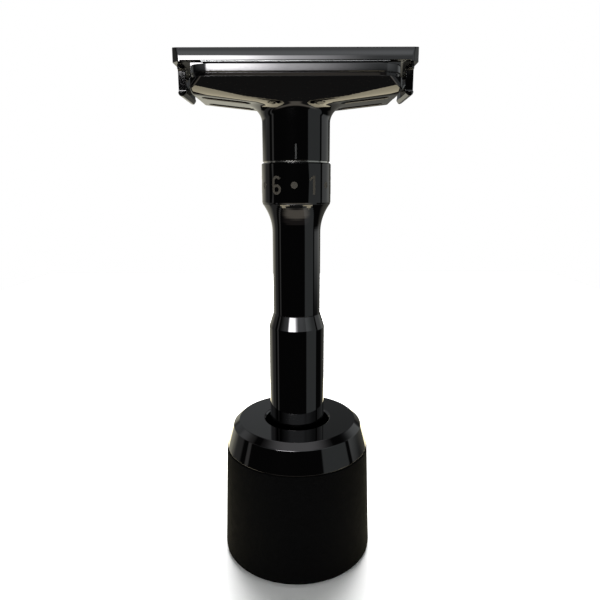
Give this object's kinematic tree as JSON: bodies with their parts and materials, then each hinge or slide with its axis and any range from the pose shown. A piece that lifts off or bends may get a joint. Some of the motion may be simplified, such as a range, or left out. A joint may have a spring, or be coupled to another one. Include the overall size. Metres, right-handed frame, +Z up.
{
  "type": "adjustable safety razor with stand",
  "caption": "Adjustable double-edge safety razor with a clawed clip-on cap and numbered dial, standing in a round weighted stand.",
  "frame": {"origin": "middle of the stand's foot, on the surface that it stands on", "axes": "+Z up the handle's axis, -Y to the front of the head where the index mark is, X along the blade"},
  "size_m": [0.0494, 0.0364, 0.1174],
  "materials": {
    "black_gloss": "polished black",
    "soft_sleeve": "fine matte",
    "foot_rubber": "matte",
    "liner_plastic": "matte",
    "plain_steel": "turned",
    "zinc_steel": "zinc plated",
    "spring_steel": "polished",
    "washer_steel": "polished",
    "blade_steel": "ground edges",
    "bronze": "turned",
    "mark_paint": "satin enamel",
    "index_paint": "satin enamel"
  },
  "bodies": {
    "stand": {"foot_pad": "foot_rubber", "stand_sleeve": "soft_sleeve", "stand_weight": "plain_steel", "stand_top_ring": "black_gloss", "stand_screws": "zinc_steel", "socket_liner": "liner_plastic", "socket_pad": "foot_rubber"},
    "head": {"guard_head": "black_gloss", "index_mark": "index_paint", "stop_pin": "zinc_steel", "thrust_washer": "washer_steel", "retaining_ring": "spring_steel", "return_spring": "spring_steel"},
    "handle": {"end_cap": "black_gloss", "grip_sleeve": "black_gloss", "handle_core": "black_gloss", "adjust_nut": "bronze", "dial_collar": "black_gloss", "dial_markings": "mark_paint"},
    "carrier": {"lift_stud": "zinc_steel", "spring_seat": "zinc_steel", "seat_clip": "spring_steel", "blade_bed": "black_gloss", "cap_spring_left": "black_gloss", "cap_spring_right": "black_gloss"},
    "blade": {"blade": "blade_steel"},
    "cap": {"cap": "black_gloss"}
  },
  "joints": [
    {"name": "razor_lift", "type": "slide", "parent": "stand", "child": "head", "axis": [0, 0, 1], "range_m": [0, 0.036]},
    {"name": "dial_turn", "type": "hinge", "parent": "head", "child": "handle", "pos_m": [0, 0, 0.0896], "axis": [0, 0, 1], "range_deg": [-330, 0]},
    {"name": "carrier_lift", "type": "slide", "parent": "head", "child": "carrier", "axis": [0, 0, 1], "range_m": [0, 0.000916], "deforming": ["return_spring"]},
    {"name": "cap_off", "type": "slide", "parent": "carrier", "child": "cap", "axis": [0, 0, 1], "range_m": [0, 0.03], "deforming": ["cap_spring_left", "cap_spring_right"]},
    {"name": "blade_off", "type": "slide", "parent": "carrier", "child": "blade", "axis": [0, 0, 1], "range_m": [0, 0.015]}
  ],
  "couplings": [
    {"joint": "dial_turn", "follows": "carrier_lift", "rad_per_m": -6283.2},
    {"joint": "blade_off", "follows": "cap_off", "ratio": 0.5}
  ]
}
